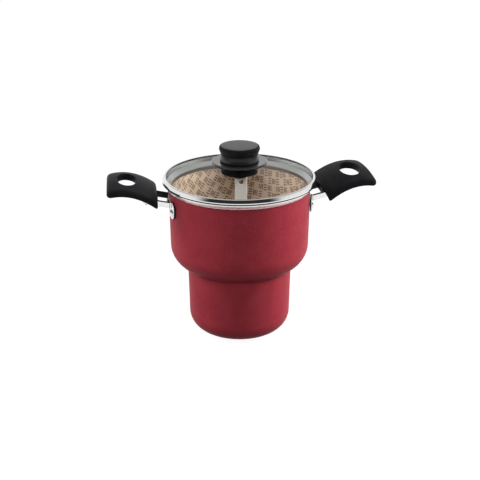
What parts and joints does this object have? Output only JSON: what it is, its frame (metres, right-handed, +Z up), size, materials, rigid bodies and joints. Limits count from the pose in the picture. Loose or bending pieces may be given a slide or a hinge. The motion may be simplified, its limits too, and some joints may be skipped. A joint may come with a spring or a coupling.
{
  "type": "couscous steamer",
  "caption": "Stepped stovetop steamer: narrow water well under a wider bowl, perforated plate on a lift strip, glass lid with knob, side handles.",
  "frame": {"origin": "centre of the base's underside", "axes": "+Z up along the pot's axis, +X towards the right handle, -Y towards the viewer"},
  "size_m": [0.2714, 0.1564, 0.1983],
  "materials": {
    "enamel": "fine red speckled coating outside, tan patterned non-stick inside, bare rim",
    "aluminium": "satin",
    "bakelite": "satin black moulded",
    "steel": "polished",
    "glass": "clear tempered",
    "silicone": "matte",
    "brass": "turned"
  },
  "bodies": {
    "pot": {"pot_body": "enamel", "rivet_left_front": "aluminium", "rivet_left_back": "aluminium", "rivet_right_front": "aluminium", "rivet_right_back": "aluminium", "handle_grip_left": "bakelite", "handle_bracket_left": "steel", "handle_screw_left": "steel", "handle_grip_right": "bakelite", "handle_bracket_right": "steel", "handle_screw_right": "steel"},
    "plate": {"steam_plate": "aluminium", "lift_strip": "aluminium", "strip_rivet_front": "aluminium", "strip_rivet_back": "aluminium"},
    "lid": {"lid_ring": "steel", "lid_glass": "glass", "knob_guard": "bakelite", "knob_grip": "bakelite", "knob_screw": "steel", "knob_gasket_upper": "silicone", "knob_gasket_lower": "silicone", "knob_washer": "steel", "knob_insert": "brass"}
  },
  "joints": [
    {"name": "plate_lift", "type": "slide", "parent": "pot", "child": "plate", "axis": [0, 0, 1], "range_m": [0, 0.12]},
    {"name": "lid_lift", "type": "slide", "parent": "plate", "child": "lid", "axis": [0, 0, 1], "range_m": [0, 0.12]}
  ]
}
